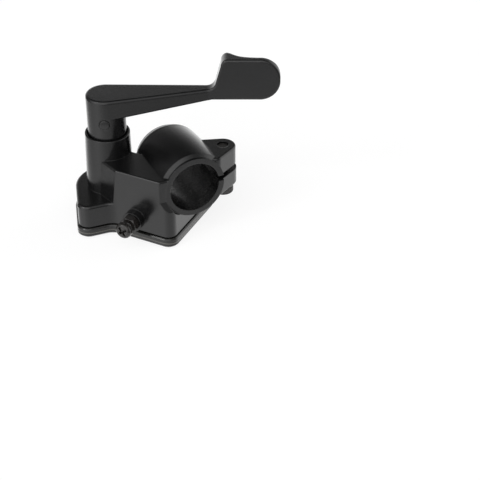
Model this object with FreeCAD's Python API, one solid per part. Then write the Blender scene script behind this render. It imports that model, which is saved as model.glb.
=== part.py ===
import FreeCAD, Part
import math
import os
from FreeCAD import Vector

# Thumb throttle lever for a 22 mm handlebar. Millimetres, +Z up.
# Origin: middle of the clamp bore, half way along the clamp. +Y runs along the bar,
# from the open front ring of the clamp to the back, and the lever's shaft stands along +Z.

# Bar clamp
bar_r = 11.1
clamp_length = 31.0
lip_r = 13.5
lip_length = 1.0
shoulder_y = 2.1
shoulder_r = 14.9
barrel_r = 15.5
barrel_end_r = 15.1
nose_length = 4.2
nose_r = 12.3
slit_low_z = -0.1
slit_width = 2.4
ear_top_z = 10.7
ear_bottom_z = -7.5
ear_tip = (17.6, 9.7)
ear_tip_r = 5.4
ear_lower_extra = 0.3
ear_root_r = 3.0
ear_roots = ((11.0, 3.3), (9.5, 15.2))

# Housing, levels
seam_z = -19.6
deck_z = -9.5
ledge_z = 7.0
ceiling_z = -13.2
corner_top_z = -2.5
corner_slope = 57.0
bar_clearance = 0.8
rim_z = 16.0
wall = 2.6

# Housing outline: x and distance behind the clamp's front face
pivot_x = -24.7
pivot_from_front = 33.3
pivot_round_r = 13.55
lobe_round_r = 15.1
front_corner = (-12.3, 0.9)
front_corner_r = 4.0
right_corner = (11.3, 20.6)
right_corner_r = 5.0
chamber = (-7.0, 33.0)
chamber_r = 11.5
lobe = (-39.4, 23.2)
lobe_r = 4.3
lobe_web = (-30.3, 22.4)
lobe_fillet_r = 7.0
deck_edge_r = 1.2
ledge_edge_r = 0.8

# Raised block between the boss and the clamp: x, distance from front, corner radius,
# on its flat top and where its drafted left side meets the deck
ledge_left_top = ((-30.2, 27.0, 1.0), (-26.2, 10.0, 1.0))
ledge_left_foot = ((-31.3, 27.0, 1.0), (-27.3, 10.0, 1.0))
ledge_right = ((-18.0, 0.5, 1.0), (-12.8, 0.5, 1.0), (-11.5, 6.0, 1.2),
               (-14.0, 22.6, 1.0), (-18.5, 28.3, 1.0))
ledge_left_corner = (-29.1, 17.0)
ledge_front_corner = (-16.2, -0.5)
ledge_corner_r = 0.9

# Pivot boss and its bore
boss_base_r = 10.2
boss_rim_r = 9.5
boss_edge_r = 0.4
well_r = 8.7
well_floor_z = 1.0
bush_bore_r = 6.5

# Shaft, bushes and washers
shaft_r = 5.0
shaft_head_r = 4.5
shaft_head_top_z = 28.0
arm_flat_r = 3.9
arm_flats = 6.4
shaft_thread_r = 2.95
running_gap = 0.05
seat_gap = 0.02
bush_flange_r = 7.8
bush_flange_t = 0.9
bush_length = 6.0
thrust_washer_t = 0.6
thrust_washer_r = 7.4

# Throttle lever
hub_r = 8.15
hub_skirt_z = 8.6
hub_sleeve_r = 6.0
arm_top_z = 34.0
arm_root_under_z = 25.3
arm_edge_r = 1.0
neck = (15.3, 18.9)
neck_half = 2.6
paddle_angle = -26.5
paddle_length = 30.1
paddle_top_z = 47.7
paddle_under_z = 29.3
paddle_tip_rx = 7.7
paddle_shoulder_x = 8.0
paddle_shoulder_r = 2.6
paddle_back_x = 3.4
paddle_throat_r = 3.2
paddle_thin = 3.4
paddle_tip_t = 4.2
paddle_hump = 7.6
paddle_neck_swell = 0.7
paddle_hump_x = 8.0
paddle_hump_fall = 2.4
paddle_hollow = (0.17, 0.43)
paddle_edge_r = 0.7
pin_z = 23.4
pin_r = 2.1
pin_heading = -117.0
pin_recess = 0.15

# Return spring and dust seal
spring_wire_r = 0.6
spring_mean_r = 6.95
spring_pitch = 1.35
spring_turns = 3.6
spring_start = 160.0
spring_leg_hole_r = 0.8
spring_leg_low = 1.5
spring_leg_high = 2.0
seal_below_rim = 1.0
seal_height = 2.2

# Cable arm inside the housing, angles about the shaft
throttle_travel = 50.0
arm_plate_t = 2.8
arm_hub_r = 7.5
nipple_radius = 16.5
nipple_hole_r = 2.6
nipple_eye_r = 4.6
nipple_rim = 0.6
cable_slot = 1.8
stop_reach = 22.5
stop_rise = 0.9
stop_gap = 0.15
arm_washer_t = 0.8
arm_nut_af = 10.0
arm_nut_t = 2.4
thread_tail = 0.6

# Throttle limiter in the front wall
limiter_point = (-23.4, 9.1)
limiter_heading = 37.2
limiter_z = -14.0
limiter_boss_r = 4.4
limiter_boss_length = 3.5
limiter_screw_r = 1.95
limiter_hole_r = 2.05
limiter_nut_af = 7.0
limiter_nut_t = 3.2
limiter_head_r = 3.5
limiter_head_t = 2.6
limiter_head_gap = 2.2
cross_width = 1.0
cross_length = 4.2
cross_depth = 1.3
limiter_adjust_in = 2.0
limiter_tip_chamfer = 0.4

# Cable port on the back wall
port_r = 4.5
port_length = 6.5
port_thread_r = 2.5
port_thread_depth = 8.0
cable_hole_r = 1.6

# Gasket, cover and cover screws
gasket_t = 0.6
gasket_inset = 0.8
cover_t = 4.3
cover_proud = 0.7
cover_top_edge = 0.5
cover_bottom_edge = 0.8
cover_floor_t = 2.5
cover_screw_r = 2.0
cover_screw_hole_r = 2.2
cover_thread_hole_r = 2.05
cover_screw_reach = 6.0
screw_end_gap = 0.5
cover_head_r = 3.7
cover_head_t = 2.2
cover_head_sink = 0.2
post_extra = 0.2

# Clamp bolt and its lock washer
bolt_r = 2.45
bolt_thread_hole_r = 2.5
bolt_clear_r = 2.8
bolt_head_r = 4.4
bolt_head_t = 3.4
bolt_socket_af = 4.0
bolt_socket_depth = 2.0
bolt_washer_t = 1.2
bolt_washer_r = 4.6
bolt_tip_below_top = 1.6
washer_split = 0.8
washer_play = 0.2
bolt_head_edge = 0.5

front_y = -clamp_length / 2
pivot_y = front_y + pivot_from_front
slit_high_z = slit_low_z + slit_width
cover_top_z = seam_z - gasket_t
cover_bottom_z = cover_top_z - cover_t
arm_top_plane = ceiling_z - bush_flange_t - thrust_washer_t
arm_low_plane = arm_top_plane - arm_plate_t
nut_low_z = arm_low_plane - arm_washer_t - arm_nut_t
bush_top_z = well_floor_z + bush_flange_t
sleeve_low_z = bush_top_z + running_gap
seal_top_z = rim_z - seal_below_rim
up = Vector(0, 0, 1)
along_bar = Vector(0, 1, 0)


def spot(place, z=0.0):
    """A point given by x and its distance behind the clamp's front face."""
    return Vector(place[0], front_y + place[1], z)


def polar(radius, degrees, z=0.0):
    """A point at an angle about the pivot axis."""
    turn = math.radians(degrees)
    return Vector(pivot_x + radius * math.cos(turn), pivot_y + radius * math.sin(turn), z)


def disc(centre, radius, z_low, z_high):
    return Part.makeCylinder(radius, z_high - z_low, Vector(centre.x, centre.y, z_low))


def pivot_disc(radius, z_low, z_high):
    return disc(polar(0, 0), radius, z_low, z_high)


def prism(face, height):
    return face.extrude(Vector(0, 0, height))


def hull_face(circles, z):
    """Outline around circles (x, y, r) listed counter-clockwise: tangent lines and arcs."""
    normals = []
    for i, (x1, y1, r1) in enumerate(circles):
        x2, y2, r2 = circles[(i + 1) % len(circles)]
        span = math.hypot(x2 - x1, y2 - y1)
        dx, dy = (x2 - x1) / span, (y2 - y1) / span
        lean = (r1 - r2) / span
        side = math.sqrt(1 - lean * lean)
        normals.append(math.atan2(dy * lean - dx * side, dx * lean + dy * side))
    edges = []
    for i, (x, y, r) in enumerate(circles):
        start = normals[i - 1]
        sweep = (normals[i] - start) % (2 * math.pi)
        points = [Vector(x + r * math.cos(start + sweep * k), y + r * math.sin(start + sweep * k), z)
                  for k in (0, 0.5, 1)]
        edges.append(Part.Arc(*points).toShape())
        x2, y2, r2 = circles[(i + 1) % len(circles)]
        end = Vector(x2 + r2 * math.cos(normals[i]), y2 + r2 * math.sin(normals[i]), z)
        edges.append(Part.LineSegment(points[2], end).toShape())
    return Part.Face(Part.Wire(edges))


def placed(circles, grow):
    """Turns (x, distance from front, r) into row coordinates with the radius grown."""
    return [(x, front_y + back, r + grow) for x, back, r in circles]


def upright_edges(shape, point, reach):
    """Straight vertical edges whose plan position lies within reach of a point."""
    found = []
    for edge in shape.Edges:
        low, high = edge.Vertexes[0].Point, edge.Vertexes[-1].Point
        vertical = abs(low.x - high.x) < 1e-4 and abs(low.y - high.y) < 1e-4
        if vertical and math.hypot(low.x - point.x, low.y - point.y) < reach:
            found.append(edge)
    return found


def level_edges(shape, z):
    """Edges that lie in one horizontal plane."""
    return [e for e in shape.Edges
            if abs(e.BoundBox.ZMin - z) < 1e-4 and abs(e.BoundBox.ZMax - z) < 1e-4]


def main_circles():
    return [(pivot_x, pivot_from_front, pivot_round_r), (*front_corner, front_corner_r),
            (*right_corner, right_corner_r), (*chamber, chamber_r)]


def lobe_circles():
    return [(pivot_x, pivot_from_front, lobe_round_r), (*lobe, lobe_r), (*lobe_web, lobe_r)]


def outline_prism(z_low, z_high, grow):
    """The housing's plan outline, grown or shrunk, as a prism."""
    body = prism(hull_face(placed(main_circles(), grow), z_low), z_high - z_low)
    ear = prism(hull_face(placed(lobe_circles(), grow), z_low), z_high - z_low)
    joined = body.fuse(ear).removeSplitter()
    corner = spot((lobe_web[0], lobe_web[1] - lobe_r - grow))
    return joined.makeFillet(lobe_fillet_r - grow, upright_edges(joined, corner, lobe_fillet_r / 2))


def screw_places():
    return [spot(lobe), spot(front_corner), spot(right_corner)]


def hexagon(across_flats, length, base, direction):
    """A hexagonal prism starting at base and running along direction."""
    corner = across_flats / math.sqrt(3)
    points = [Vector(corner * math.cos(math.radians(60 * k)), corner * math.sin(math.radians(60 * k)), 0)
              for k in range(7)]
    block = Part.Face(Part.makePolygon(points)).extrude(Vector(0, 0, length))
    block.Placement = FreeCAD.Placement(base, FreeCAD.Rotation(up, direction))
    return block


def rod(radius, length, base, direction):
    return Part.makeCylinder(radius, length, base, direction)


def limiter_frame():
    """Point where the limiter's axis meets the outer wall, and the direction out of it."""
    turn = math.radians(limiter_heading)
    inward = Vector(math.cos(turn), math.sin(turn), 0)
    return spot(limiter_point, limiter_z), -inward


def clamp_barrel():
    """Upper shell of the clamp: a slightly barrelled tube with a front lip and a rounded back."""
    back_y = front_y + clamp_length
    nose_y = back_y - nose_length
    start = Vector(0, front_y, 0)
    lip_edge = Vector(0, front_y, lip_r)
    lip_end = Vector(0, front_y + lip_length, lip_r)
    shoulder = Vector(0, front_y + shoulder_y, shoulder_r)
    belly = Vector(0, (front_y + shoulder_y + nose_y) / 2, barrel_r)
    barrel_end = Vector(0, nose_y, barrel_end_r)
    nose_mid = Vector(0, nose_y + 0.72 * nose_length, nose_r + 0.62 * (barrel_end_r - nose_r))
    nose_end = Vector(0, back_y, nose_r)
    back = Vector(0, back_y, 0)
    edges = [Part.LineSegment(start, lip_edge).toShape(), Part.LineSegment(lip_edge, lip_end).toShape(),
             Part.LineSegment(lip_end, shoulder).toShape(), Part.Arc(shoulder, belly, barrel_end).toShape(),
             Part.Arc(barrel_end, nose_mid, nose_end).toShape(),
             Part.LineSegment(nose_end, back).toShape(), Part.LineSegment(back, start).toShape()]
    turned = Part.Face(Part.Wire(edges)).revolve(Vector(0, 0, 0), along_bar, 360)
    upper = Part.makeBox(4 * barrel_r, 2 * clamp_length, 2 * barrel_r,
                         Vector(-2 * barrel_r, -clamp_length, slit_low_z))
    return turned.common(upper)


def pinch_ear():
    """Ear that holds the clamp bolt, its lower jaw a little wider than the upper one."""
    circles = [(*ear_roots[0], ear_root_r), (*ear_tip, ear_tip_r), (*ear_roots[1], ear_root_r)]
    split_z = (slit_low_z + slit_high_z) / 2
    upper = prism(hull_face(placed(circles, 0), split_z), ear_top_z - split_z)
    lower = prism(hull_face(placed(circles, ear_lower_extra), ear_bottom_z), split_z - ear_bottom_z)
    upper = upper.makeFillet(ledge_edge_r, level_edges(upper, ear_top_z))
    return upper.fuse(lower.makeFillet(ledge_edge_r, level_edges(lower, ear_bottom_z)))


def ledge_block():
    """Raised block with a flat top between the boss and the clamp, drafted on its left.
    Its front wall is the box's own front wall drawn up."""
    low_z = deck_z - 2 * deck_edge_r
    drop = (ledge_z - low_z) / (ledge_z - deck_z)
    foot_left = [(x1 + (x2 - x1) * drop, y1 + (y2 - y1) * drop, r)
                 for (x1, y1, r), (x2, y2, _) in zip(ledge_left_top, ledge_left_foot)]
    foot = hull_face(placed(foot_left + list(ledge_right), 0), low_z)
    top = hull_face(placed(ledge_left_top + ledge_right, 0), ledge_z)
    block = Part.makeLoft([foot.OuterWire, top.OuterWire], True, True)
    walls = outline_prism(low_z, ledge_z, 0)
    block = block.common(walls)
    block = block.makeFillet(ledge_corner_r, standing_edges(block, ledge_left_corner, 3.0)
                             + standing_edges(block, ledge_front_corner, 2.0))
    return block.makeFillet(ledge_edge_r, level_edges(block, ledge_z))


def standing_edges(shape, place, reach):
    """Tall, nearly upright edges whose middle lies within reach of a place in plan."""
    centre = spot(place)
    found = []
    for edge in shape.Edges:
        box = edge.BoundBox
        if box.ZLength > 4 * reach and math.hypot(box.Center.x - centre.x, box.Center.y - centre.y) < reach:
            found.append(edge)
    return found


def front_column():
    """Front corner of the box, drawn up beside the clamp ring and sloped off at its top."""
    column = outline_prism(seam_z, corner_top_z, 0)
    near = Part.makeBox(front_corner_r * 3, front_corner_r * 3, clamp_length,
                        spot((front_corner[0] - front_corner_r * 1.6, -front_corner_r * 2), seam_z - 1))
    column = column.common(near)
    span = 2 * clamp_length
    ramp = Part.makeBox(span, span, span, Vector(-span / 2, -span, 0))
    ramp.rotate(Vector(0, 0, 0), Vector(1, 0, 0), corner_slope)
    ramp.translate(spot((front_corner[0], 0), corner_top_z))
    return column.cut(ramp)


def pivot_boss():
    """Tall tapered boss around the shaft."""
    boss = Part.makeCone(boss_base_r, boss_rim_r, rim_z - deck_z + wall,
                         polar(0, 0, deck_z - wall))
    return boss.makeFillet(boss_edge_r, level_edges(boss, rim_z))


def base_box():
    """Low box and raised block, cut clear of the bar's path before and behind the clamp."""
    full = outline_prism(seam_z, deck_z, 0)
    full = full.makeFillet(deck_edge_r, level_edges(full, deck_z))
    body = full.fuse(front_column()).fuse(ledge_block())
    before = rod(lip_r, clamp_length, Vector(0, front_y - clamp_length, 0), along_bar)
    behind = rod(bar_r + bar_clearance, clamp_length, Vector(0, front_y + clamp_length, 0), along_bar)
    return body.cut(before).cut(behind)


def cable_port():
    """Threaded spout for the cable, flush with the seam below."""
    port_x = pivot_x + nipple_radius
    mouth_y = front_y + chamber[1] + chamber_r + port_length
    arm_mid_z = (arm_top_plane + arm_low_plane) / 2
    length = port_length + wall
    spout = rod(port_r, length, Vector(port_x, mouth_y - length, arm_mid_z), along_bar)
    above_seam = Part.makeBox(4 * port_r, 4 * length, 4 * port_r,
                              Vector(port_x - 2 * port_r, mouth_y - 2 * length, seam_z))
    thread = rod(port_thread_r, port_thread_depth,
                 Vector(port_x, mouth_y - port_thread_depth, arm_mid_z), along_bar)
    hole = rod(cable_hole_r, 2 * length, Vector(port_x, mouth_y - 2 * length, arm_mid_z), along_bar)
    return spout.common(above_seam), thread.fuse(hole)


def cavity():
    """Room for the cable arm, with solid posts left for the cover screws."""
    room = prism(hull_face(placed(main_circles(), -wall), seam_z), ceiling_z - seam_z)
    for place in screw_places()[1:]:
        room = room.cut(disc(place, front_corner_r + post_extra, seam_z - 1, ceiling_z + 1))
    span = 4 * clamp_length
    behind_ring = Part.makeBox(span, span, span, Vector(-span / 2, front_y + wall, seam_z - 1))
    return room.common(behind_ring)


def limiter_boss():
    point, outward = limiter_frame()
    inside = 2 * wall
    return rod(limiter_boss_r, limiter_boss_length + inside, point - outward * inside, outward)


def housing():
    body = base_box()
    for piece in (pivot_boss(), clamp_barrel(), pinch_ear(), limiter_boss()):
        body = body.fuse(piece)
    body = body.fuse(rod(lip_r, clamp_length, Vector(0, front_y, 0), along_bar))
    spout, cable_way = cable_port()
    body = body.fuse(spout)
    body = body.cut(rod(bar_r, 2 * clamp_length, Vector(0, -clamp_length, 0), along_bar))
    slit = Part.makeBox(3 * barrel_r, 3 * clamp_length, slit_width,
                        Vector(0, -1.5 * clamp_length, slit_low_z))
    body = body.cut(slit)
    body = body.cut(cavity())
    body = body.cut(cable_way)
    body = body.cut(pivot_disc(well_r, well_floor_z, rim_z + 1))
    body = body.cut(pivot_disc(bush_bore_r, seam_z, rim_z))
    point, outward = limiter_frame()
    depth = limiter_tip_depth() + limiter_adjust_in + cover_head_sink
    length = depth + limiter_boss_length + wall
    body = body.cut(rod(limiter_hole_r, length, point - outward * depth, outward))
    for place in screw_places():
        body = body.cut(disc(place, cover_thread_hole_r, seam_z, seam_z + cover_screw_reach))
    ear = spot(ear_tip)
    body = body.cut(disc(ear, bolt_thread_hole_r, slit_low_z, ear_top_z + 1))
    body = body.cut(disc(ear, bolt_clear_r, ear_bottom_z - 1, slit_high_z))
    leg = polar(spring_mean_r, spring_start)
    leg_floor_z = well_floor_z - spring_leg_low - screw_end_gap
    body = body.cut(disc(leg, spring_leg_hole_r, leg_floor_z, rim_z))
    return body.removeSplitter()


def return_spring():
    """Torsion spring around the lever's sleeve, with a straight leg at each end."""
    height = spring_pitch * spring_turns
    low = bush_top_z + spring_wire_r + seat_gap
    helix = Part.makeHelix(spring_pitch, height, spring_mean_r)
    helix.rotate(Vector(0, 0, 0), up, spring_start)
    helix.translate(polar(0, 0, low))
    start = polar(spring_mean_r, spring_start, low)
    ring = Part.makeCircle(spring_wire_r, start, Vector(0, 1, 0))
    ring.rotate(start, up, spring_start)
    coil = Part.Wire(helix.Edges).makePipeShell([Part.Wire([ring])], True, True)
    end_angle = spring_start + 360 * spring_turns
    low_leg = disc(start, spring_wire_r, well_floor_z - spring_leg_low, low)
    high_leg = disc(polar(spring_mean_r, end_angle), spring_wire_r,
                    low + height, hub_skirt_z + spring_leg_high)
    return coil.fuse(low_leg).fuse(high_leg).removeSplitter()


def lever_arm():
    """Arm from the hub to the neck: tapered in plan, its underside rising to the neck."""
    start = polar(0, 0)
    end = spot(neck)
    span = end - start
    circles = [(start.x, start.y, hub_r), (end.x, end.y, neck_half)]
    plan = prism(hull_face(circles, hub_skirt_z), arm_top_z - hub_skirt_z)
    plan = plan.makeFillet(arm_edge_r, level_edges(plan, arm_top_z))
    low_left = Vector(-2 * hub_r, 0, arm_root_under_z)
    low_root = Vector(0, 0, arm_root_under_z)
    low_neck = Vector(span.Length, 0, paddle_under_z)
    low_right = Vector(span.Length + 2 * neck_half, 0, paddle_under_z)
    high_right = Vector(span.Length + 2 * neck_half, 0, 2 * arm_top_z)
    high_left = Vector(-2 * hub_r, 0, 2 * arm_top_z)
    corners = [low_left, low_root, low_neck, low_right, high_right, high_left, low_left]
    side = Part.Face(Part.makePolygon(corners)).extrude(Vector(0, 4 * hub_r, 0))
    side.translate(Vector(0, -2 * hub_r, 0))
    turn = FreeCAD.Rotation(Vector(1, 0, 0), span)
    side.Placement = FreeCAD.Placement(start, turn).multiply(side.Placement)
    return plan.common(side)


def paddle_side_outline():
    """Side view of the paddle, x along it and z up: round tip, shoulder and throat."""
    mid_z = (paddle_top_z + paddle_under_z) / 2
    half_h = (paddle_top_z - paddle_under_z) / 2
    tip_x = paddle_length - paddle_tip_rx
    diagonal = math.sqrt(0.5)
    throat_start = Vector(0, 0, arm_top_z)
    throat_mid = Vector(0.62 * paddle_back_x, 0, arm_top_z + 0.26 * paddle_throat_r)
    throat_end = Vector(paddle_back_x, 0, arm_top_z + paddle_throat_r)
    shoulder_foot = Vector(paddle_shoulder_x - paddle_shoulder_r * 0.96, 0,
                           paddle_top_z - paddle_shoulder_r * 1.2)
    shoulder_mid = Vector(paddle_shoulder_x - paddle_shoulder_r * 0.6, 0,
                          paddle_top_z - paddle_shoulder_r * 0.31)
    shoulder_end = Vector(paddle_shoulder_x, 0, paddle_top_z)
    tip_top = Vector(tip_x, 0, paddle_top_z)
    tip_mid = Vector(paddle_length, 0, mid_z)
    tip_low = Vector(tip_x, 0, paddle_under_z)
    upper_mid = Vector(tip_x + paddle_tip_rx * diagonal, 0, mid_z + half_h * diagonal)
    lower_mid = Vector(tip_x + paddle_tip_rx * diagonal, 0, mid_z - half_h * diagonal)
    low_start = Vector(0, 0, paddle_under_z)
    edges = [Part.LineSegment(low_start, tip_low), Part.Arc(tip_low, lower_mid, tip_mid),
             Part.Arc(tip_mid, upper_mid, tip_top), Part.LineSegment(tip_top, shoulder_end),
             Part.Arc(shoulder_end, shoulder_mid, shoulder_foot),
             Part.LineSegment(shoulder_foot, throat_end), Part.Arc(throat_end, throat_mid, throat_start),
             Part.LineSegment(throat_start, low_start)]
    return Part.Wire([edge.toShape() for edge in edges])


def paddle_plan():
    """Plan view of the paddle: flat in front, behind it a hump and a hollow for the thumb."""
    front_start = Vector(0, 0, 0)
    front_end = Vector(paddle_length, 0, 0)
    beyond = paddle_length - paddle_hump_x
    fall_x, thin_x = [paddle_hump_x + share * beyond for share in paddle_hollow]
    back = [Vector(0, 2 * neck_half, 0), Vector(paddle_back_x, 2 * neck_half + paddle_neck_swell, 0),
            Vector(paddle_hump_x, paddle_hump, 0), Vector(fall_x, paddle_hump - paddle_hump_fall, 0),
            Vector(thin_x, paddle_thin, 0), Vector(paddle_length, paddle_tip_t, 0)]
    curve = Part.BSplineCurve()
    curve.interpolate(back)
    edges = [Part.LineSegment(front_start, front_end).toShape(),
             Part.LineSegment(front_end, back[-1]).toShape(), curve.toShape(),
             Part.LineSegment(back[0], front_start).toShape()]
    return Part.Face(Part.Wire(edges))


def paddle():
    """Thumb paddle: where its side view and its plan meet, with its front and back edges eased."""
    side = Part.Face(paddle_side_outline()).extrude(Vector(0, 3 * paddle_hump, 0))
    side.translate(Vector(0, -paddle_hump, 0))
    blade = side.common(paddle_plan().extrude(Vector(0, 0, 2 * paddle_top_z)))
    front = [e for e in blade.Edges if e.BoundBox.YMax < 1e-4 and e.BoundBox.XMax > 1e-3]
    back = [e for e in blade.Edges if e.BoundBox.YMin > 0.5 * paddle_thin and e.BoundBox.XMax > 1e-3]
    blade = blade.makeFillet(paddle_edge_r, front + back)
    turn = FreeCAD.Rotation(up, paddle_angle)
    across = turn.multVec(Vector(0, neck_half, 0))
    blade.Placement = FreeCAD.Placement(spot(neck) - across, turn)
    return blade


def throttle_lever():
    """Cast lever: hub, arm and paddle in one piece, bored for the shaft and its pin."""
    hub = pivot_disc(hub_r, hub_skirt_z, arm_top_z - 2 * arm_edge_r)
    sleeve = pivot_disc(hub_sleeve_r, sleeve_low_z, hub_skirt_z)
    body = hub.fuse(sleeve).fuse(lever_arm()).fuse(paddle())
    body = body.cut(pivot_disc(shaft_head_r + seat_gap, sleeve_low_z, shaft_head_top_z + screw_end_gap))
    body = body.cut(cross_pin(pin_r + running_gap, 2 * hub_r))
    leg = polar(spring_mean_r, spring_start + 360 * spring_turns)
    leg_top_z = hub_skirt_z + spring_leg_high + screw_end_gap
    body = body.cut(disc(leg, spring_leg_hole_r, hub_skirt_z, leg_top_z))
    return body.removeSplitter()


def cross_pin(radius, half_length):
    """Rod through the hub and the shaft, square to the arm."""
    turn = math.radians(pin_heading)
    direction = Vector(math.cos(turn), math.sin(turn), 0)
    return rod(radius, 2 * half_length, polar(0, 0, pin_z) - direction * half_length, direction)


def lever_pin():
    hollow = cross_pin(pin_r * 0.5, 2 * hub_r)
    inside_hub = pivot_disc(hub_r - pin_recess, pin_z - 2 * pin_r, pin_z + 2 * pin_r)
    return cross_pin(pin_r, hub_r).common(inside_hub).cut(hollow)


def lever_shaft():
    """Stepped shaft: head in the lever, journal in the bushes, two flats and a thread below."""
    journal = pivot_disc(shaft_r, arm_top_plane, sleeve_low_z)
    head = pivot_disc(shaft_head_r, sleeve_low_z, shaft_head_top_z)
    flats = flat_sided(arm_flat_r, arm_flats, arm_low_plane + seat_gap, arm_top_plane)
    thread = pivot_disc(shaft_thread_r, nut_low_z - thread_tail, arm_low_plane + seat_gap)
    body = journal.fuse(head).fuse(flats).fuse(thread)
    return body.cut(cross_pin(pin_r + running_gap, 2 * hub_r)).removeSplitter()


def flat_sided(radius, across, z_low, z_high):
    """A round bar with two flats that lie along the cable arm, or the hole for one."""
    slab = Part.makeBox(4 * radius, across, z_high - z_low, Vector(-2 * radius, -across / 2, z_low))
    slab.rotate(Vector(0, 0, 0), up, arm_rest_angle())
    slab.translate(polar(0, 0))
    return pivot_disc(radius, z_low, z_high).common(slab)


def bush(flange_low):
    """Flanged bush; the flange is at its top or at its bottom."""
    if flange_low:
        flange_z = ceiling_z - bush_flange_t
        sleeve_z = ceiling_z
        flange_r = thrust_washer_r
    else:
        flange_z = well_floor_z
        sleeve_z = well_floor_z - bush_length
        flange_r = bush_flange_r
    body = pivot_disc(flange_r, flange_z, flange_z + bush_flange_t)
    body = body.fuse(pivot_disc(bush_bore_r - seat_gap, sleeve_z, sleeve_z + bush_length))
    body = body.cut(pivot_disc(shaft_r + running_gap, seam_z, rim_z)).removeSplitter()
    if not flange_low:
        body = body.cut(disc(polar(spring_mean_r, spring_start), spring_leg_hole_r, seam_z, rim_z))
    return body


def ring_about_pivot(inner, outer, z_low, z_high):
    return pivot_disc(outer, z_low, z_high).cut(pivot_disc(inner, z_low - 1, z_high + 1))


def dust_seal():
    return ring_about_pivot(hub_r + running_gap, well_r - seat_gap, seal_top_z - seal_height, seal_top_z)


def thrust_washer():
    bore = shaft_r + 2 * running_gap
    return ring_about_pivot(bore, thrust_washer_r, arm_top_plane, arm_top_plane + thrust_washer_t)


def cable_arm():
    """Plate on the shaft's flats: an eye for the cable's nipple and a stop tab for the limiter."""
    eye_x = pivot_x + nipple_radius
    circles = [(pivot_x, pivot_from_front, arm_hub_r), (eye_x, pivot_from_front, nipple_eye_r)]
    plate = prism(hull_face(placed(circles, 0), arm_low_plane), arm_plate_t)
    tab_start = nipple_radius - nipple_hole_r
    tab = Part.makeBox(stop_reach - tab_start, nipple_eye_r, arm_plate_t + stop_rise,
                       polar(0, 0, arm_low_plane) + Vector(tab_start, -nipple_eye_r, 0))
    seat = spot((eye_x, pivot_from_front))
    tab = tab.cut(disc(seat, nipple_hole_r + nipple_rim, arm_top_plane, ceiling_z))
    body = plate.fuse(tab)
    body = body.cut(disc(seat, nipple_hole_r, seam_z, ceiling_z))
    slot = Part.makeBox(cable_slot, 2 * nipple_eye_r, arm_plate_t * 3,
                        Vector(seat.x - cable_slot / 2, seat.y, arm_low_plane - arm_plate_t))
    body = body.cut(slot)
    body.rotate(polar(0, 0), up, arm_rest_angle())
    hole = flat_sided(arm_flat_r + running_gap, arm_flats + 2 * running_gap, seam_z, ceiling_z)
    return body.cut(hole).removeSplitter()


def arm_rest_angle():
    """The arm's angle at rest: full travel back from where its tab meets the limiter squarely."""
    return limiter_heading - 90 + throttle_travel


def limiter_tip_depth():
    """Depth of the limiter's tip inside the wall plane, at which the tab just clears it at full travel."""
    point, outward = limiter_frame()
    to_foot = (polar(0, 0, limiter_z) - point).dot(-outward)
    return to_foot - nipple_eye_r - stop_gap


def arm_lock_washer():
    """Split washer under the nut."""
    z = arm_low_plane - arm_washer_t
    ring = ring_about_pivot(shaft_thread_r + washer_play, arm_nut_af / 2, z, arm_low_plane)
    slot = Part.makeBox(arm_nut_af, washer_split, 2 * arm_washer_t, Vector(0, 0, z - arm_washer_t / 2))
    slot.translate(polar(0, 0))
    return ring.cut(slot)


def arm_nut():
    body = hexagon(arm_nut_af, arm_nut_t, polar(0, 0, nut_low_z), up)
    return body.cut(pivot_disc(shaft_thread_r + seat_gap, nut_low_z - 1, arm_low_plane))


def limiter_screw():
    """Cross-headed screw that stops the cable arm short of full throttle."""
    point, outward = limiter_frame()
    head_low = limiter_boss_length + limiter_nut_t + limiter_head_gap
    tip = limiter_tip_depth()
    shank = rod(limiter_screw_r, head_low + tip, point - outward * tip, outward)
    nose = point - outward * tip
    end_edges = [e for e in shank.Edges if e.BoundBox.Center.distanceToPoint(nose) < limiter_tip_chamfer]
    shank = shank.makeChamfer(limiter_tip_chamfer, end_edges)
    head = rod(limiter_head_r, limiter_head_t, point + outward * head_low, outward)
    end = point + outward * (head_low + limiter_head_t)
    rim = [e for e in head.Edges if e.BoundBox.Center.distanceToPoint(end) < 0.1]
    head = head.makeFillet(limiter_head_t * 0.5, rim)
    cross = cross_recess()
    cross.Placement = FreeCAD.Placement(end, FreeCAD.Rotation(up, -outward))
    return head.cut(cross).fuse(shank).removeSplitter()


def cross_recess():
    """Cutter for a cross recess, sunk along +Z from the origin."""
    one = Part.makeBox(cross_length, cross_width, 2 * cross_depth,
                       Vector(-cross_length / 2, -cross_width / 2, -cross_depth))
    other = Part.makeBox(cross_width, cross_length, 2 * cross_depth,
                         Vector(-cross_width / 2, -cross_length / 2, -cross_depth))
    return one.fuse(other)


def limiter_lock_nut():
    point, outward = limiter_frame()
    base = point + outward * limiter_boss_length
    body = hexagon(limiter_nut_af, limiter_nut_t, base, outward)
    small = limiter_nut_af / 2
    large = small + limiter_nut_t
    cone = Part.makeCone(small, large, limiter_nut_t, base, outward)
    flip = Part.makeCone(large, small, limiter_nut_t, base, outward)
    body = body.common(cone).common(flip)
    return body.cut(rod(limiter_hole_r, 3 * limiter_nut_t, base - outward * limiter_nut_t, outward))


def cover_gasket():
    sheet = outline_prism(cover_top_z, seam_z, -gasket_inset)
    room = prism(hull_face(placed(main_circles(), -wall), cover_top_z), gasket_t)
    sheet = sheet.cut(room.cut(corner_posts(cover_top_z, seam_z)))
    for place in screw_places():
        sheet = sheet.cut(disc(place, cover_screw_hole_r, cover_top_z - 1, seam_z + 1))
    return sheet


def corner_posts(z_low, z_high):
    posts = [disc(place, front_corner_r + post_extra, z_low, z_high) for place in screw_places()[1:]]
    return posts[0].fuse(posts[1:])


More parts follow.
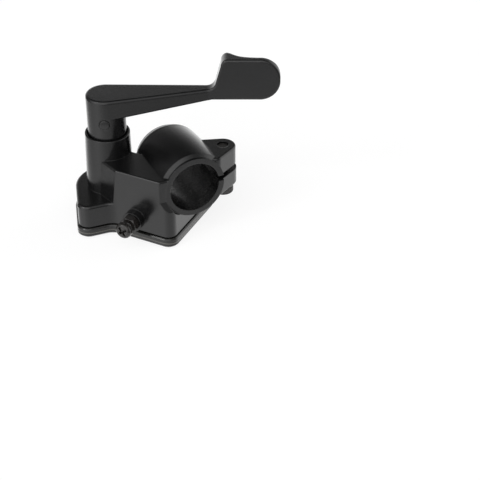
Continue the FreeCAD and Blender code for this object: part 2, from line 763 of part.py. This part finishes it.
def bottom_cover():
    """Flat cover under the box, a little proud of it all round, hollowed under the cable arm."""
    body = outline_prism(cover_bottom_z, cover_top_z, cover_proud)
    body = body.makeChamfer(cover_top_edge, level_edges(body, cover_top_z))
    body = body.makeChamfer(cover_bottom_edge, level_edges(body, cover_bottom_z))
    recess = prism(hull_face(placed(main_circles(), -wall), cover_bottom_z + cover_floor_t), cover_t)
    body = body.cut(recess.cut(corner_posts(cover_bottom_z, seam_z + wall)))
    for place in screw_places():
        body = body.cut(disc(place, cover_screw_hole_r, cover_bottom_z - 1, cover_top_z + 1))
        body = body.cut(screw_cone(place, seat_gap))
    return body.removeSplitter()


def screw_cone(place, gap):
    """Countersunk head, or the seat for one with a small gap all round."""
    low = cover_bottom_z + cover_head_sink
    head = Part.makeCone(cover_head_r + gap, cover_screw_r, cover_head_t, Vector(place.x, place.y, low))
    if gap == 0:
        return head
    return head.fuse(disc(place, cover_head_r + gap, cover_bottom_z - 1, low))


def cover_screws():
    screws = []
    for place in screw_places():
        low = cover_bottom_z + cover_head_sink
        tip_z = seam_z + cover_screw_reach - screw_end_gap
        screw = screw_cone(place, 0).fuse(disc(place, cover_screw_r, low, tip_z))
        cross = cross_recess()
        cross.translate(Vector(place.x, place.y, low))
        screws.append(screw.cut(cross).removeSplitter())
    return Part.makeCompound(screws)


def clamp_bolt():
    """Socket-headed bolt that closes the clamp from below."""
    place = spot(ear_tip)
    seat = ear_bottom_z - bolt_washer_t
    head = disc(place, bolt_head_r, seat - bolt_head_t, seat)
    head = head.makeFillet(bolt_head_edge, level_edges(head, seat - bolt_head_t))
    shank = disc(place, bolt_r, seat, ear_top_z - bolt_tip_below_top)
    socket = hexagon(bolt_socket_af, bolt_socket_depth, Vector(place.x, place.y, seat - bolt_head_t), up)
    return head.cut(socket).fuse(shank).removeSplitter()


def clamp_lock_washer():
    place = spot(ear_tip)
    low = ear_bottom_z - bolt_washer_t
    ring = disc(place, bolt_washer_r, low, ear_bottom_z)
    ring = ring.cut(disc(place, bolt_r + washer_play, low - 1, ear_bottom_z + 1))
    slot = Part.makeBox(2 * bolt_washer_r, washer_split, 3 * bolt_washer_t,
                        Vector(place.x, place.y, low - bolt_washer_t))
    return ring.cut(slot)


pieces = {
    "housing": housing(),
    "bottom_cover": bottom_cover(),
    "cover_gasket": cover_gasket(),
    "cover_screws": cover_screws(),
    "clamp_bolt": clamp_bolt(),
    "clamp_lock_washer": clamp_lock_washer(),
    "throttle_lever": throttle_lever(),
    "lever_shaft": lever_shaft(),
    "lever_pin": lever_pin(),
    "upper_bush": bush(False),
    "lower_bush": bush(True),
    "dust_seal": dust_seal(),
    "return_spring": return_spring(),
    "thrust_washer": thrust_washer(),
    "cable_arm": cable_arm(),
    "arm_lock_washer": arm_lock_washer(),
    "arm_nut": arm_nut(),
    "limiter_screw": limiter_screw(),
    "limiter_lock_nut": limiter_lock_nut(),
}

os.makedirs("parts", exist_ok=True)
for name, shape in pieces.items():
    shape.exportStep("parts/" + name + ".step")
    print(name, len(shape.Solids), round(shape.Volume, 1), shape.isValid())
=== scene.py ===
import bpy
import math
import numpy as np
from mathutils import Matrix, Vector


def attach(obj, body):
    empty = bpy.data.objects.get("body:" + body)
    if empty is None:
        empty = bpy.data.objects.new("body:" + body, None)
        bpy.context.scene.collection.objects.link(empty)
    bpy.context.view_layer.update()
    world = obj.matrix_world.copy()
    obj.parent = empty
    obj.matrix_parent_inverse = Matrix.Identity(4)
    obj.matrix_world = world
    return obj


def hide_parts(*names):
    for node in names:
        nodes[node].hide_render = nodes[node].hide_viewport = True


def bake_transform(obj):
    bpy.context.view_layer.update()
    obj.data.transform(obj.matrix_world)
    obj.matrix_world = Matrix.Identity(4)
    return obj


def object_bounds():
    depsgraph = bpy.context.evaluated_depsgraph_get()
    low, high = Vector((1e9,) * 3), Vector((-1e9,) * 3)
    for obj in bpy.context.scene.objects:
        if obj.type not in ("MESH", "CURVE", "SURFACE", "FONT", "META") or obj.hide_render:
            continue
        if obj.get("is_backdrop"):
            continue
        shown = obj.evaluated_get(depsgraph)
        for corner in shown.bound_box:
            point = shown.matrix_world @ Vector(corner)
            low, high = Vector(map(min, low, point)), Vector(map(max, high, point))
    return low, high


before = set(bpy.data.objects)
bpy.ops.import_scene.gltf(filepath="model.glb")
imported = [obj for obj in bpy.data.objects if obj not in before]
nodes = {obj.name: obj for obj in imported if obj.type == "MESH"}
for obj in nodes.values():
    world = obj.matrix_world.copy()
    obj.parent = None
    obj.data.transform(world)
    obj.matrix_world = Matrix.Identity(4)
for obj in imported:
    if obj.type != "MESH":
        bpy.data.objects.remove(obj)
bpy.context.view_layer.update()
print("frame loaded:", len(nodes), "CAD nodes")

scene = bpy.context.scene
scene.view_settings.view_transform = "Standard"


cameraPlace = {
    "location": (-0.18496, -0.42836, 0.29550),   # metres, in the row's frame
    "right": (0.89493, -0.44620, 0.0),
    "up": (0.25911, 0.51969, 0.81412),
    "back": (-0.36326, -0.72858, 0.58070),
    "sensor": 36.0,
    "lens": 97.5,
}


def makeCamera(c):
    data = bpy.data.cameras.new("camera")
    data.sensor_fit = "HORIZONTAL"
    data.sensor_width = c["sensor"]
    data.lens = c["lens"]
    data.clip_start = 0.01
    data.clip_end = 20.0
    camera = bpy.data.objects.new("camera", data)
    turn = Matrix((c["right"], c["up"], c["back"])).transposed()
    camera.matrix_world = Matrix.Translation(c["location"]) @ turn.to_4x4()
    scene.collection.objects.link(camera)
    scene.camera = camera


makeCamera(cameraPlace)
print("camera placed")


class Socket:
    # a shader value; the operators add Math nodes to its tree
    def __init__(self, tree, link):
        self.tree, self.link = tree, link

    def maths(self, operation, *others, clamp=False):
        inputs = {0: self}
        for i, other in enumerate(others):
            inputs[i + 1] = other
        return self.tree.node("ShaderNodeMath", {"operation": operation, "use_clamp": clamp}, inputs)

    def __add__(self, other):
        return self.maths("ADD", other)

    def __radd__(self, other):
        return self.maths("ADD", other)

    def __sub__(self, other):
        return self.maths("SUBTRACT", other)

    def __rsub__(self, other):
        return (self * -1.0) + other

    def __mul__(self, other):
        return self.maths("MULTIPLY", other)

    def __rmul__(self, other):
        return self.maths("MULTIPLY", other)

    def __truediv__(self, other):
        return self.maths("DIVIDE", other)

    def __rtruediv__(self, other):
        return self.maths("POWER", -1.0) * other

    def clamped(self):
        return self.maths("MULTIPLY", 1.0, clamp=True)

    def least(self, other):
        return self.maths("MINIMUM", other)

    def sine(self):
        return self.maths("SINE")

    def root(self):
        return self.maths("SQRT")

    def steps(self, low, high):
        # 0 below low, 1 above high, a straight rise between
        return ((self - low) / (high - low)).clamped()


class NodeTree:
    # writes nodes into one tree
    def __init__(self, tree):
        self.tree = tree

    def node(self, kind, settings=None, inputs=None, out=0):
        made = self.tree.nodes.new(kind)
        for key, value in (settings or {}).items():
            setattr(made, key, value)
        for key, value in (inputs or {}).items():
            self.feed(made.inputs[key], value)
        return Socket(self, made.outputs[out])

    def dot(self, one, two):
        return self.node("ShaderNodeVectorMath", {"operation": "DOT_PRODUCT"}, {0: one, 1: two}, out="Value")

    def seen(self, kind):
        # 1 where the ray is of this kind
        return self.node("ShaderNodeLightPath", out=kind)

    def feed(self, socket, value):
        if isinstance(value, Socket):
            self.tree.links.new(value.link, socket)
        elif isinstance(value, (tuple, list)) and socket.type == "RGBA" and len(value) == 3:
            socket.default_value = (*value, 1.0)
        else:
            socket.default_value = value


class Finish(NodeTree):
    # one material: a Principled shader whose constants stand on its own sockets
    def __init__(self, name, **constants):
        self.material = bpy.data.materials.new(name)
        self.material.use_nodes = True
        super().__init__(self.material.node_tree)
        self.shader = self.tree.nodes["Principled BSDF"]
        for key, value in constants.items():
            self.shader.inputs[key.replace("_", " ")].default_value = value
        self.place = self.node("ShaderNodeTexCoord", out="Object")
        apart = [self.node("ShaderNodeSeparateXYZ", {}, {0: self.place}, out=i) for i in range(3)]
        self.x, self.y, self.z = apart

    def noise(self, size, detail=2.0, rough=0.5, place=None):
        # soft noise from 0 to 1 whose spots are about size metres across
        inputs = {"Vector": place or self.place, "Scale": 1.0 / size, "Detail": detail, "Roughness": rough}
        return self.node("ShaderNodeTexNoise", {}, inputs)

    def mixed(self, amount, one, two):
        return self.node("ShaderNodeMix", {"data_type": "RGBA"}, {0: amount, 6: one, 7: two}, out=2)

    def edges(self, radius, samples=6):
        # the normal rounded over sharp edges, and how far it leaves the true one: 0 on flats
        soft = self.node("ShaderNodeBevel", {"samples": samples}, {"Radius": radius})
        true = self.node("ShaderNodeNewGeometry", out="Normal")
        return soft, (1.0 - self.dot(soft, true)).clamped()

    def bump(self, height, depth, normal=None):
        inputs = {"Height": height, "Distance": depth, "Strength": 1.0}
        if normal:
            inputs["Normal"] = normal
        return self.node("ShaderNodeBump", {}, inputs)

    def finish(self, **links):
        for key, value in links.items():
            self.feed(self.shader.inputs[key.replace("_", " ")], value)
        return self.material


paintLook = {
    "colour": (0.0036, 0.0036, 0.0038),
    "paler": 1.35,                      # how much paler the clouded patches are
    "worn": (0.050, 0.049, 0.047),      # paint rubbed thin on the edges
    "roughness": 0.24,
    "cloud": 0.012,                     # size of the paint's uneven patches
    "peel": 0.0011,                     # size of its orange peel
    "peelDepth": 0.000012,
    "grain": 0.00032,                   # size of the casting's fine grain
    "grainDepth": 0.000008,
    "edge": 0.00035,                    # rounding of sharp edges
    "rubbed": 0.0016,                   # size of the rubbed spots along the edges
    "wear": 0.35,
}


def paintedCasting(name, look, marks=None):
    f = Finish(name, Specular_IOR_Level=0.5)
    soft, edge = f.edges(look["edge"])
    peel = f.noise(look["peel"], 1.5)
    grain = f.noise(look["grain"], 3.0, 0.6)
    cloud = f.noise(look["cloud"], 3.0)
    rub = (edge * 2.2 * f.noise(look["rubbed"], 3.0).steps(0.42, 0.62)).clamped() * look["wear"]
    pale = tuple(part * look["paler"] for part in look["colour"])
    colour = f.mixed(rub, f.mixed(cloud.steps(0.35, 0.7) * 0.5, look["colour"], pale), look["worn"])
    rough = look["roughness"] + (cloud - 0.5) * 0.12 + (grain - 0.5) * 0.10 - rub * 0.1
    normal = f.bump(peel, look["peelDepth"], soft)
    if marks:
        colour, rough, normal = machinedMarks(f, marks, colour, rough, normal)
    if "partingRidgeAndHighlight" in look:
        # the mould's parting line around the cover: a raised ridge, and along it a painted highlight,
        # lighter than the paint
        ridgeAndHighlight = (1.0 - (f.z - look["partingRidgeAndHighlight"]).maths("ABSOLUTE") / look["partingWidth"]).clamped()
        # painted highlight: the worn colour mixed in along the ridge
        colour = f.mixed(ridgeAndHighlight * 0.55, colour, look["worn"])
        normal = f.bump(ridgeAndHighlight, look["partingHeight"], normal)
    normal = f.bump(grain, look["grainDepth"], normal)
    return f.finish(Base_Color=colour, Roughness=rough, Normal=normal)


housingMarks = {
    "boreRadius": 0.0111,
    "boreEdge": (0.0002, 0.0003),       # the marks fade out this far outside the bore's radius
    "ringPitch": 0.00045,
    "ringDepth": 0.000006,
    "dull": (0.016, 0.0155, 0.0145),    # paint dulled by the handlebar
    "dullSize": 0.0045,
    "port": (-0.0082, -0.0161),         # x and z of the cable port's axis
    "portRadius": 0.0027,
    "portFrom": 0.022,                  # y at which the port's thread starts
    "fade": 0.0001,
    "threadPitch": 0.001,
    "threadDepth": 0.00025,
}


def machinedMarks(f, m, colour, rough, normal):
    # the clamp's bore: cut rings along it, and patches where the handlebar has dulled the paint
    near, far = [m["boreRadius"] + part for part in m["boreEdge"]]
    bore = 1.0 - (f.x * f.x + f.z * f.z).root().steps(near, far)
    rings = (f.y * (2 * math.pi / m["ringPitch"])).sine() * bore
    dull = f.noise(m["dullSize"], 4.0, 0.7).steps(0.46, 0.66) * bore
    # the cable port: a thread whose phase is 2 pi y / pitch + the turn about the port's axis
    fromX, fromZ = f.x - m["port"][0], f.z - m["port"][1]
    inPort = 1.0 - (fromX * fromX + fromZ * fromZ).root().steps(m["portRadius"], m["portRadius"] + m["fade"])
    inPort = inPort * f.y.steps(m["portFrom"], m["portFrom"] + m["fade"])
    turn = fromZ.maths("ARCTAN2", fromX)
    thread = (f.y * (2 * math.pi / m["threadPitch"]) + turn).sine() * inPort
    colour = f.mixed(dull * 0.5, colour, m["dull"])
    rough = rough + dull * 0.10 - rings * 0.03
    normal = f.bump(thread, m["threadDepth"], f.bump(rings, m["ringDepth"], normal))
    return colour, rough, normal


blackPaint = paintedCasting("blackPaint", paintLook)
leverPaint = paintedCasting("leverPaint", {**paintLook, "edge": 0.0009, "wear": 0.25})
housingPaint = paintedCasting("housingPaint", paintLook, housingMarks)

coverLook = {
    **paintLook,
    "colour": (0.0056, 0.0054, 0.0050),
    "worn": (0.16, 0.150, 0.130),
    "wear": 0.8,
    "edge": 0.00045,
    # the parting ridge around the cover, which carries a painted highlight
    "partingRidgeAndHighlight": -0.0223,                 # z of the parting line
    "partingWidth": 0.00035,
    "partingHeight": 0.00012,
}
coverPaint = paintedCasting("coverPaint", coverLook)

brightLook = {
    "edge": 0.0002,
    "stain": 0.004,                     # size of the tarnished patches
    "tarnish": 0.62,                    # their share of the metal's colour
    "lines": 0.00025,                   # spacing of the fine turning lines
    "lineDepth": 0.000006,
}
brightMetals = {
    # name: colour, roughness, how tarnished
    "zincSteel": ((0.42, 0.42, 0.41), 0.36, 0.7),
    "shaftSteel": ((0.46, 0.46, 0.46), 0.24, 0.35),
    "springSteel": ((0.20, 0.20, 0.205), 0.32, 0.8),
}


def brightSteel(name, look, colour, roughness, tarnished):
    f = Finish(name, Metallic=1.0)
    soft = f.edges(look["edge"])[0]
    stain = f.noise(look["stain"], 4.0, 0.6).steps(0.4, 0.7)
    stretched = f.node("ShaderNodeMapping", {}, {"Vector": f.place, "Scale": (1.0, 1.0, 6.0)})
    lines = f.noise(look["lines"], 2.0, 0.5, stretched)
    shade = f.mixed(stain * tarnished, colour, tuple(part * look["tarnish"] for part in colour))
    rough = roughness + (lines - 0.5) * 0.22 + stain * 0.12
    return f.finish(Base_Color=shade, Roughness=rough, Normal=f.bump(lines, look["lineDepth"], soft))


zincSteel = brightSteel("zincSteel", brightLook, *brightMetals["zincSteel"])
shaftSteel = brightSteel("shaftSteel", brightLook, *brightMetals["shaftSteel"])
springSteel = brightSteel("springSteel", brightLook, *brightMetals["springSteel"])

blackSteelLook = {
    "black": (0.0035, 0.0035, 0.0040),
    "brown": (0.012, 0.009, 0.007),
    "bright": (0.40, 0.395, 0.38),      # bare steel where the blacking is gone
    "roughness": 0.24,
    "edge": 0.00035,
    "speck": 0.0007,
    "speckDepth": 0.00001,
}


def blackenedSteel(name, look, wear):
    f = Finish(name, Specular_IOR_Level=0.5)
    soft, edge = f.edges(look["edge"])
    speck = f.noise(look["speck"], 4.0, 0.65)
    rub = ((edge * 2.6 + 0.04) * speck.steps(0.44, 0.60) * wear).clamped()
    colour = f.mixed(rub, f.mixed(speck, look["black"], look["brown"]), look["bright"])
    rough = look["roughness"] + rub * 0.10 + (speck - 0.5) * 0.16
    normal = f.bump(speck, look["speckDepth"], soft)
    return f.finish(Base_Color=colour, Metallic=rub, Roughness=rough, Normal=normal)


blackSteel = blackenedSteel("blackSteel", blackSteelLook, 0.5)
screwSteel = blackenedSteel("screwSteel", blackSteelLook, 1.1)

rubberLook = {
    "black": (0.008, 0.008, 0.008),
    "dusty": (0.028, 0.027, 0.025),
    "grain": 0.0004,
    "grainDepth": 0.00002,
    "dust": 0.003,
    "roughness": 0.62,
}


def sealRubber(name, look):
    f = Finish(name, Specular_IOR_Level=0.3)
    grain = f.noise(look["grain"], 4.0, 0.7)
    dust = f.noise(look["dust"], 3.0).steps(0.45, 0.75)
    colour = f.mixed(dust * 0.6, look["black"], look["dusty"])
    rough = look["roughness"] + grain * 0.2
    return f.finish(Base_Color=colour, Roughness=rough, Normal=f.bump(grain, look["grainDepth"]))


gasketRubber = sealRubber("gasketRubber", rubberLook)

bushLook = {
    "yellow": (0.50, 0.47, 0.39),
    "pale": (0.60, 0.58, 0.51),
    "edge": 0.0002,
    "ringPitch": 0.00022,               # turned rings along the bush
    "ringDepth": 0.000004,
    "haze": 0.002,
    "roughness": 0.42,
}


def bearingPlastic(name, look):
    f = Finish(name, Specular_IOR_Level=0.45)
    soft = f.edges(look["edge"])[0]
    rings = (f.z * (2.0 * math.pi / look["ringPitch"])).sine()
    haze = f.noise(look["haze"], 3.0)
    colour = f.mixed(haze, look["yellow"], look["pale"])
    rough = look["roughness"] + haze * 0.12
    return f.finish(Base_Color=colour, Roughness=rough, Normal=f.bump(rings, look["ringDepth"], soft))


bushPlastic = bearingPlastic("bushPlastic", bushLook)

nodeFinish = {
    "housing": housingPaint, "bottom_cover": coverPaint, "throttle_lever": leverPaint,
    "cover_gasket": gasketRubber, "dust_seal": gasketRubber, "cover_screws": zincSteel,
    "clamp_bolt": blackSteel, "clamp_lock_washer": blackSteel, "lever_pin": blackSteel,
    "lever_shaft": shaftSteel, "thrust_washer": shaftSteel, "upper_bush": bushPlastic,
    "lower_bush": bushPlastic, "return_spring": springSteel, "cable_arm": zincSteel,
    "arm_lock_washer": zincSteel, "arm_nut": zincSteel, "limiter_screw": screwSteel,
    "limiter_lock_nut": blackSteel,
}
for name, material in nodeFinish.items():
    mesh = nodes[name].data
    mesh.materials.clear()
    mesh.materials.append(material)
print("materials:", len(nodeFinish))

sharpAngle = 38.0                       # degrees; edges that turn more stay sharp


def gridPiece(name, rows, material, body=None):
    # rows: array of points, one closed ring per row; the first and last rings close on their middle
    count, around = rows.shape[:2]
    points = np.concatenate([rows.reshape(-1, 3), rows[:1].mean(1), rows[-1:].mean(1)])
    first, last = count * around, count * around + 1
    ring = np.arange(around)
    after = (ring + 1) % around
    start = np.arange(count - 1)[:, None] * around
    quads = np.stack([start + ring, start + after, start + around + after, start + around + ring], -1)
    top = first - around
    fans = np.concatenate([np.stack([after, ring, np.full(around, first)], -1),
                           np.stack([top + ring, top + after, np.full(around, last)], -1)])
    mesh = bpy.data.meshes.new(name)
    mesh.from_pydata(points.tolist(), [], quads.reshape(-1, 4).tolist() + fans.tolist())
    mesh.polygons.foreach_set("use_smooth", np.ones(len(mesh.polygons), dtype=bool))
    mesh.set_sharp_from_angle(angle=math.radians(sharpAngle))
    mesh.materials.append(material)
    piece = bpy.data.objects.new(name, mesh)
    scene.collection.objects.link(piece)
    if body:
        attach(piece, body)
    return piece


def frameAlong(outward):
    # rows: two directions square to outward, then outward itself
    out = np.array(outward) / np.linalg.norm(outward)
    side = np.cross((0.0, 0.0, 1.0), out) if abs(out[2]) < 0.9 else np.array((1.0, 0.0, 0.0))
    side = side / np.linalg.norm(side)
    return np.stack([side, np.cross(out, side), out])


def turned(r, z, theta):
    # rings of radius r at height z; r may differ around a ring
    return np.stack([r * np.cos(theta), r * np.sin(theta), z + 0 * theta], -1)


def crossDepth(x, y, c):
    # cross recess: two slots with sloping ends; 1 is its full depth
    def slot(along, across):
        wall = np.clip((c["slot"] / 2 - np.abs(across)) / c["wallSlope"], 0, 1)
        reach = np.clip((c["slotLength"] / 2 - np.abs(along)) / c["endSlope"], 0, 1)
        return wall * reach
    return np.maximum(slot(x, y), slot(y, x))


def hexDepth(x, y, c):
    # hexagon socket: a point is as far out as the largest of its distances along three directions
    widths = [np.abs(x * math.cos(t) + y * math.sin(t)) for t in (0.0, math.pi / 3, 2 * math.pi / 3)]
    return np.clip((c["across"] / 2 - np.max(widths, axis=0)) / c["wallSlope"], 0, 1)


limiterScrew = {
    "base": (-0.0234, -0.0064, -0.0140), "outward": (-0.79653, -0.60460, 0.0),
    "spin": 0.62,                       # turn of the cross, radians
    "tip": -0.00884, "radius": 0.00195, "chamfer": 0.0004,
    "pitch": 0.0007, "threadDepth": 0.00035,
    "headLow": 0.0089, "head": 0.0026, "headRadius": 0.0035, "rim": 0.0013,
    "knurls": 0, "knurlDepth": 0.0,
    "recess": 0.0019, "slot": 0.0012, "slotLength": 0.0046, "wallSlope": 0.00012, "endSlope": 0.000644,
    "faceRows": 40, "around": 96,
}

clampBolt = {
    "base": (0.0176, -0.0058, -0.0087), "outward": (0.0, 0.0, -1.0),
    "spin": 0.2,                        # turn of the socket, radians
    "tip": -0.0188, "radius": 0.00245, "chamfer": 0.0004,
    "pitch": 0.0008, "threadDepth": 0.0004,
    "headLow": 0.0, "head": 0.0034, "headRadius": 0.0044, "rim": 0.0005,
    "knurls": 44, "knurlDepth": 0.00022,
    "recess": 0.0020, "across": 0.0040, "wallSlope": 0.00012,
    "faceRows": 30, "around": 176,
}

screwGrid = {
    "perPitch": 8,                      # rows to a turn of the thread
    "runout": 6,                        # plain rows under the head
    "corner": 0.0002,                   # bevel between the head's underside and its side
    "eye": 0.02,                        # share of the head's radius at which the face closes
}


def screwRows(c, recess, g):
    # profile from the tip up the thread, out under the head, round its rim and in over its face;
    # thread radius = crest - depth * |2 * fraction(z / pitch - turn) - 1|
    # knurled radius = rim - depth * (1 - |sin(knurls * turn / 2)|)
    threadZ = np.arange(c["tip"] + c["chamfer"], c["headLow"], c["pitch"] / g["perPitch"])
    bend = np.linspace(0, math.pi / 2, 7)
    rimZ = c["headLow"] + c["head"] - c["rim"] + c["rim"] * np.sin(bend)
    rimR = c["headRadius"] - c["rim"] + c["rim"] * np.cos(bend)
    under = np.linspace(c["radius"], c["headRadius"] - g["corner"], 4)
    side = np.linspace(c["headLow"] + g["corner"], rimZ[0], 5)
    face = np.linspace(rimR[-1], c["headRadius"] * g["eye"], c["faceRows"])[1:]
    z = np.concatenate([[c["tip"]], threadZ, np.full(len(under), c["headLow"]), side, rimZ,
                        np.full(len(face), rimZ[-1])])[:, None]
    r = np.concatenate([[c["radius"] - c["chamfer"]], np.full(len(threadZ), c["radius"]), under,
                        np.full(len(side), c["headRadius"]), rimR, face])[:, None]
    theta = np.linspace(0, 2 * math.pi, c["around"], endpoint=False)
    threaded = (z > c["tip"]) & (z < threadZ[-g["runout"]])
    ridged = (z > c["headLow"]) & (z < rimZ[1])
    wave = np.abs(2 * np.mod(z / c["pitch"] - theta / (2 * math.pi), 1.0) - 1)
    valley = 1 - np.abs(np.sin(theta * c["knurls"] / 2))
    r = r - threaded * c["threadDepth"] * wave - ridged * c["knurlDepth"] * valley
    onFace = z >= rimZ[-1] - 1e-9
    sunk = onFace * recess(r * np.cos(theta), r * np.sin(theta), c) * c["recess"]
    return turned(r, z - sunk, theta)


def makeScrew(name, c, recess, node, body, material):
    spin = np.array([[math.cos(c["spin"]), math.sin(c["spin"]), 0],
                     [-math.sin(c["spin"]), math.cos(c["spin"]), 0],
                     [0, 0, 1]])
    rows = screwRows(c, recess, screwGrid) @ spin @ frameAlong(c["outward"]) + np.array(c["base"])
    piece = gridPiece(name, rows, material, body)
    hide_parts(node)


makeScrew("limiterScrew", limiterScrew, crossDepth, "limiter_screw", "limiter", screwSteel)
makeScrew("clampBolt", clampBolt, hexDepth, "clamp_bolt", "housing", blackSteel)

leverPin = {
    "middle": (-0.0247, 0.0178, 0.0234), "heading": -117.0,
    "radius": 0.0021, "half": 0.00848, "rim": 0.0004,
    "crown": 0.00008,                   # how far the ends bulge
    "around": 64,
}


def makeLeverPin(c):
    # straight pin with rounded rims; its ends fall away as crown * (radius / pin's radius) squared
    bend = np.linspace(0, math.pi / 2, 6)
    inner = c["radius"] - c["rim"]
    endR = np.concatenate([inner + c["rim"] * np.cos(bend), np.linspace(inner, c["radius"] * 0.05, 8)[1:]])
    endZ = c["half"] - c["crown"] * (endR / c["radius"]) ** 2
    endZ[:len(bend)] += c["rim"] * (np.sin(bend) - 1)
    r = np.concatenate([endR[::-1], endR])[:, None]
    z = np.concatenate([-endZ[::-1], endZ])[:, None]
    rows = turned(r, z, np.linspace(0, 2 * math.pi, c["around"], endpoint=False))
    heading = math.radians(c["heading"])
    rows = rows @ frameAlong((math.cos(heading), math.sin(heading), 0.0)) + np.array(c["middle"])
    piece = gridPiece("leverPin", rows, blackPaint, "lever")
    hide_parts("lever_pin")


makeLeverPin(leverPin)

returnSpring = {
    "axis": (-0.0247, 0.0178), "mean": 0.00695, "wire": 0.0006, "start": 160.0, "turns": 3.6,
    "legLow": -0.00050, "coilLow": 0.00252, "coilHigh": 0.00738, "legHigh": 0.01060,
    "bend": 0.0011,                     # length over which the legs bend into the coil
    "step": 0.00035, "around": 14,
}


def springPath(c):
    # turn about the axis times the mean radius, and height: a straight leg, the helix and the
    # other leg, at even steps; both corners are rounded by averaging over the bend's length
    turn = np.radians(c["start"]) + np.array([0, 0, 1, 1]) * 2 * math.pi * c["turns"]
    corners = np.stack([turn * c["mean"], [c["legLow"], c["coilLow"], c["coilHigh"], c["legHigh"]]], -1)
    run = np.concatenate([[0], np.cumsum(np.linalg.norm(np.diff(corners, axis=0), axis=1))])
    even = np.arange(0, run[-1], c["step"])
    half = int(c["bend"] / c["step"] / 2)
    path = [np.interp(even, run, part) for part in corners.T]
    before, beyond = -np.arange(half, 0, -1) * c["step"], np.arange(1, half + 1) * c["step"]
    height = np.concatenate([path[1][0] + before, path[1], path[1][-1] + beyond])
    window = np.ones(2 * half + 1) / (2 * half + 1)
    return [np.convolve(part, window, mode="valid") for part in (np.pad(path[0], half, mode="edge"), height)]


def makeReturnSpring(c):
    # wire: a ring on the outward direction and on tangent x outward, carried along the path
    way, height = springPath(c)
    turn = way / c["mean"]
    outward = np.stack([np.cos(turn), np.sin(turn), 0 * turn], -1)
    middle = outward * c["mean"] + np.stack([0 * turn + c["axis"][0], 0 * turn + c["axis"][1], height], -1)
    tangent = np.gradient(middle, axis=0)
    tangent /= np.linalg.norm(tangent, axis=1)[:, None]
    across = np.cross(tangent, outward)
    ring = np.linspace(0, 2 * math.pi, c["around"], endpoint=False)[:, None]
    rows = middle[:, None] + c["wire"] * (outward[:, None] * np.cos(ring) + across[:, None] * np.sin(ring))
    piece = gridPiece("returnSpring", rows, springSteel)
    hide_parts("return_spring")
    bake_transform(piece)


makeReturnSpring(returnSpring)
print("pieces made")

studio = {
    "floorSize": 3.0,
    "floorGap": 0.0001,                 # below the object's lowest point
    "floorColour": (0.88, 0.88, 0.88, 1.0),
    "floorGlow": 0.72,                  # share of plain white that the camera sees in the floor
    "floorWhite": 1.14,                 # strength of that white
    "below": 1.04,                      # brightness that reflections see in the white table
    "belowFrom": -0.43, "belowFull": -0.52,
    # soft glows around the table: heading from the camera's side -Y, height, brightness, tightness
    "glows": [(-74, 10, 3.8, 9), (84, 8, 4.6, 10), (166, -12, 5.0, 12),
              (-38, 35, 2.5, 5), (-135, 40, 0.35, 12)],
    "brightest": 1.7,                   # the glows together stay under this
    # name, place, size x, size y, watts
    "lamps": [("spotLeft", (-0.60, -0.10, 0.52), 0.14, 0.14, 0.60),
              ("lowFront", (-0.42, -0.86, 0.20), 0.22, 0.08, 0.20)],
}


def makeFloor(s):
    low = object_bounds()[0][2] - s["floorGap"]
    half = s["floorSize"] / 2
    mesh = bpy.data.meshes.new("floor")
    corners = [(-half, -half, low), (half, -half, low), (half, half, low), (-half, half, low)]
    mesh.from_pydata(corners, [], [(0, 1, 2, 3)])
    floor = bpy.data.objects.new("floor", mesh)
    floor.visible_glossy = False          # reflections look through it at the sky's lower part
    floor.visible_shadow = False          # and the sky's light from below passes it
    scene.collection.objects.link(floor)
    floor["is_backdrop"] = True
    f = Finish("floorPaper", Roughness=0.9, Specular_IOR_Level=0.1, Base_Color=s["floorColour"])
    plain = f.node("ShaderNodeEmission", {}, {"Strength": s["floorWhite"]})
    glow = f.seen("Is Camera Ray") * s["floorGlow"]
    paper = f.node("ShaderNodeMixShader", {}, {0: glow, 1: Socket(f, f.shader.outputs[0]), 2: plain})
    f.feed(f.tree.nodes["Material Output"].inputs["Surface"], paper)
    mesh.materials.append(f.material)


def makeSky(s):
    # the camera sees plain white; reflections see the white table below the horizon and the
    # glows, each of which falls off as exp(tightness * (cosine of the angle to it - 1))
    world = bpy.data.worlds.new("studioSky")
    world.use_nodes = True
    scene.world = world
    w = NodeTree(world.node_tree)
    ray = w.node("ShaderNodeTexCoord", out="Generated")
    light = (1.0 - w.dot(ray, (0.0, 0.0, 1.0)).steps(s["belowFull"], s["belowFrom"])) * s["below"]
    for heading, height, brightness, tightness in s["glows"]:
        turn, rise = math.radians(heading), math.radians(height)
        centre = (math.cos(rise) * math.sin(turn), -math.cos(rise) * math.cos(turn), math.sin(rise))
        light = light + ((w.dot(ray, centre) - 1.0) * tightness).maths("EXPONENT") * brightness
    white = w.seen("Is Camera Ray")
    background = w.tree.nodes["Background"]
    background.inputs["Color"].default_value = (1.0, 1.0, 1.0, 1.0)
    w.feed(background.inputs["Strength"], light.least(s["brightest"]) * (1.0 - white) + white)


def makeLamps(s):
    for name, place, sizeX, sizeY, watts in s["lamps"]:
        data = bpy.data.lights.new(name, "AREA")
        data.shape = "RECTANGLE"
        data.size = sizeX
        data.size_y = sizeY
        data.energy = watts
        lamp = bpy.data.objects.new(name, data)
        lamp.rotation_euler = (-Vector(place)).to_track_quat("-Z", "Y").to_euler()
        lamp.location = place
        scene.collection.objects.link(lamp)


makeFloor(studio)
makeSky(studio)
makeLamps(studio)
print("studio lit")
